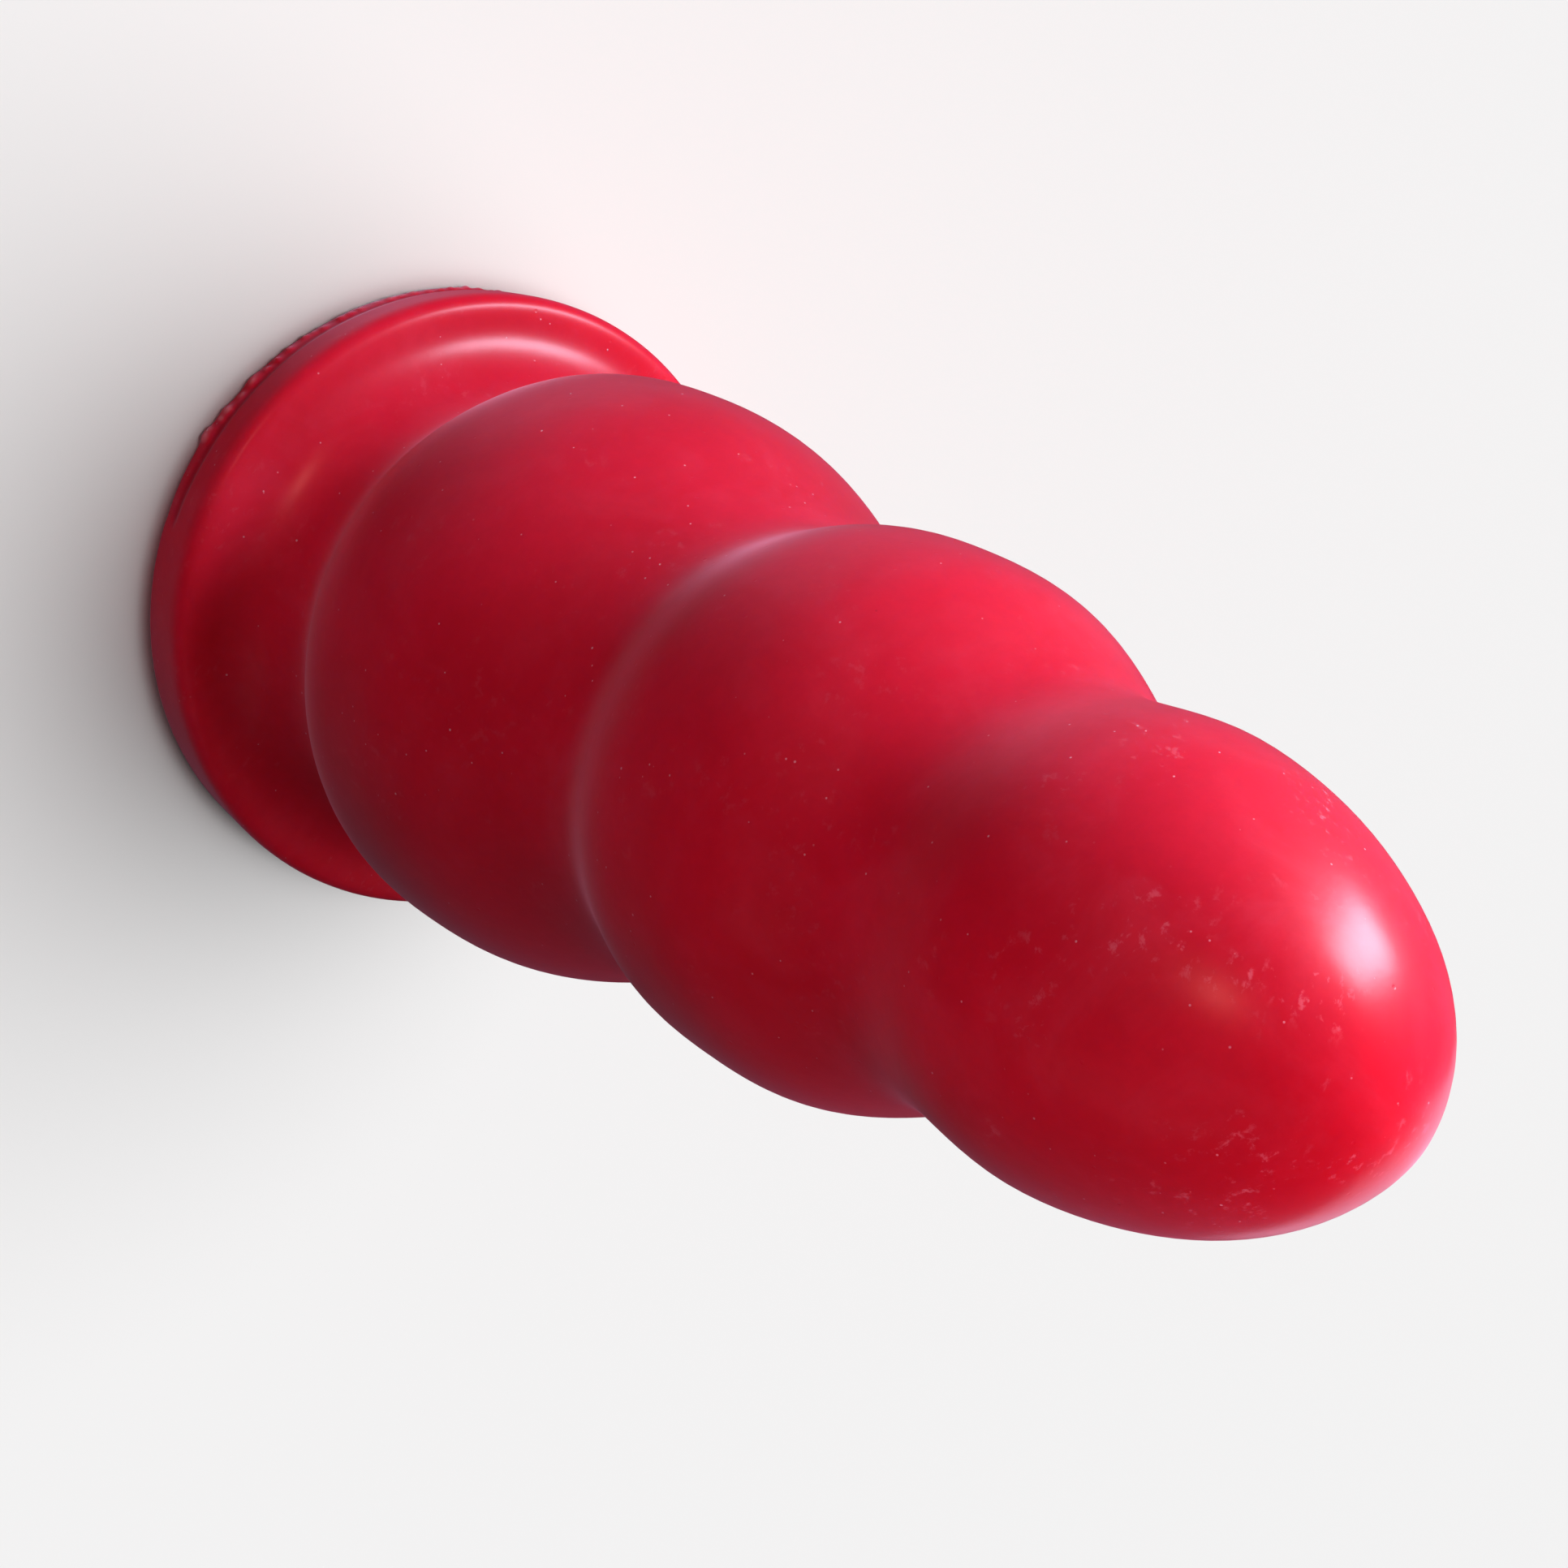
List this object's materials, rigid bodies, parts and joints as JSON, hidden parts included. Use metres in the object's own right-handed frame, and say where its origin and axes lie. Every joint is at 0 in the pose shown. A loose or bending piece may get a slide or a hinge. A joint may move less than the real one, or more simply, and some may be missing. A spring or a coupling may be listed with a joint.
{
  "type": "three-lobe flared-base plug",
  "caption": "Solid soft-rubber plug moulded in one piece: a round flat flange, a narrow neck and rounded lobes that get smaller towards a domed tip.",
  "frame": {"origin": "centre of the flange's flat underside", "axes": "+Z along the axis of revolution, from the flat underside to the domed tip; X and Y are equal, because the part is round"},
  "size_m": [0.1, 0.1, 0.224],
  "materials": {
    "soft_rubber": "satin moulded surface, slightly translucent, deep red, with fine dust and scuffs"
  },
  "bodies": {
    "root": {"moulded_body": "soft_rubber"}
  },
  "joints": []
}
